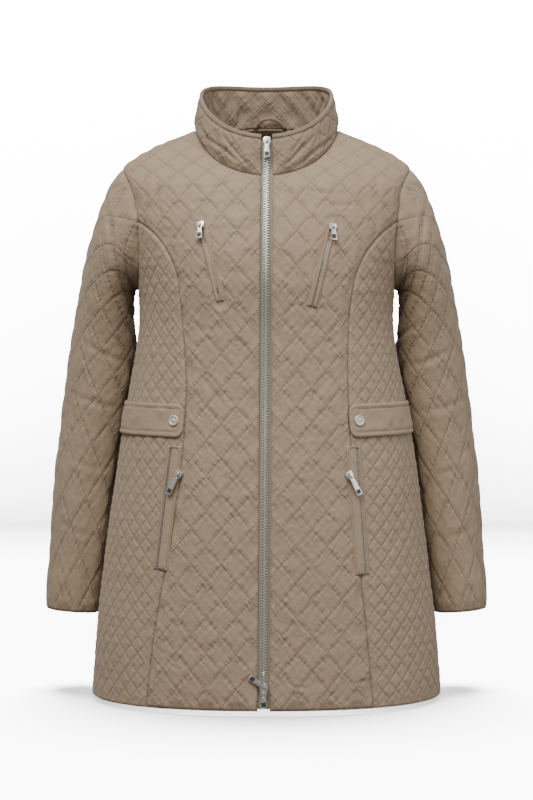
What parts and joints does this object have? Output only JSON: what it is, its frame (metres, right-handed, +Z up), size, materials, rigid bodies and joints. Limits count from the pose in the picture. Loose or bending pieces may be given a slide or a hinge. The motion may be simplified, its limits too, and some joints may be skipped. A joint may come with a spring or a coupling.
{
  "type": "quilted coat",
  "caption": "Thigh-length fitted quilted coat with a stand collar, front zip, waist tabs, welted chest and side pockets, and long sleeves, filled out with no wearer.",
  "frame": {"origin": "between the two neck points, where the wearer's shoulders carry the coat", "axes": "+Z up along the coat from hem to collar, +Y to the coat's back, +X to the wearer's left"},
  "size_m": [0.654, 0.3452, 0.8884],
  "materials": {
    "shell": "quilted taupe polyester satin over wadding, soft low sheen",
    "facing": "plain brown lining twill",
    "tape": "woven grey-brown zip tape",
    "teeth": "bright nickel-plated zip teeth",
    "nickel": "bright nickel-plated slider and pull",
    "snap": "off-white enamelled snap cap"
  },
  "bodies": {
    "coat": {"back": "shell", "back_neck_facing": "facing", "chest_slider_left": "nickel", "chest_slider_right": "nickel", "chest_welt_left": "shell", "chest_welt_right": "shell", "chest_zip_left": "teeth", "chest_zip_right": "teeth", "collar": "shell", "collar_binding": "shell", "hanger_loop": "shell", "left_centre_front": "shell", "left_side_front": "shell", "left_sleeve": "shell", "pocket_slider_left": "nickel", "pocket_slider_right": "nickel", "pocket_welt_left": "shell", "pocket_welt_right": "shell", "pocket_zip_left": "teeth", "pocket_zip_right": "teeth", "right_centre_front": "shell", "right_side_front": "shell", "right_sleeve": "shell", "snap_left": "snap", "snap_right": "snap", "waist_tab_left": "shell", "waist_tab_right": "shell", "zip_chain": "teeth", "zip_slider_bottom": "nickel", "zip_slider_top": "nickel", "zip_tape_left": "tape", "zip_tape_right": "tape"},
    "pull_top_body": {"pull_top": "nickel"},
    "pull_bottom_side_body": {"pull_bottom_side": "nickel"},
    "pull_bottom_down_body": {"pull_bottom_down": "nickel"},
    "pull_chest_right_body": {"pull_chest_right": "nickel"},
    "pull_chest_left_body": {"pull_chest_left": "nickel"},
    "pull_pocket_right_body": {"pull_pocket_right": "nickel"},
    "pull_pocket_left_body": {"pull_pocket_left": "nickel"}
  },
  "joints": [
    {"name": "pull_top_hinge", "type": "hinge", "parent": "coat", "child": "pull_top_body", "pos_m": [0.0006, -0.10731, -0.02676], "axis": [-1, -0.0056, -0.0003], "range_deg": [0, 150]},
    {"name": "pull_bottom_side_hinge", "type": "hinge", "parent": "coat", "child": "pull_bottom_side_body", "pos_m": [-0.00385, -0.17074, -0.77238], "axis": [0.5737, 0.0289, 0.8186], "range_deg": [0, 120]},
    {"name": "pull_bottom_down_hinge", "type": "hinge", "parent": "coat", "child": "pull_bottom_down_body", "pos_m": [-0.00385, -0.17107, -0.78117], "axis": [-1, 0.003, 0], "range_deg": [0, 85]},
    {"name": "pull_chest_right_hinge", "type": "hinge", "parent": "coat", "child": "pull_chest_right_body", "pos_m": [-0.09129, -0.13559, -0.14546], "axis": [-0.9676, 0.2525, -0.0004], "range_deg": [0, 150]},
    {"name": "pull_chest_left_hinge", "type": "hinge", "parent": "coat", "child": "pull_chest_left_body", "pos_m": [0.09128, -0.1361, -0.14785], "axis": [-0.9668, -0.2555, -0.0003], "range_deg": [0, 150]},
    {"name": "pull_pocket_right_hinge", "type": "hinge", "parent": "coat", "child": "pull_pocket_right_body", "pos_m": [-0.12137, -0.14179, -0.48769], "axis": [-0.8188, 0.3612, 0.4462], "range_deg": [0, 150]},
    {"name": "pull_pocket_left_hinge", "type": "hinge", "parent": "coat", "child": "pull_pocket_left_body", "pos_m": [0.11407, -0.14458, -0.48871], "axis": [-0.8284, -0.3314, -0.4515], "range_deg": [0, 150]}
  ]
}
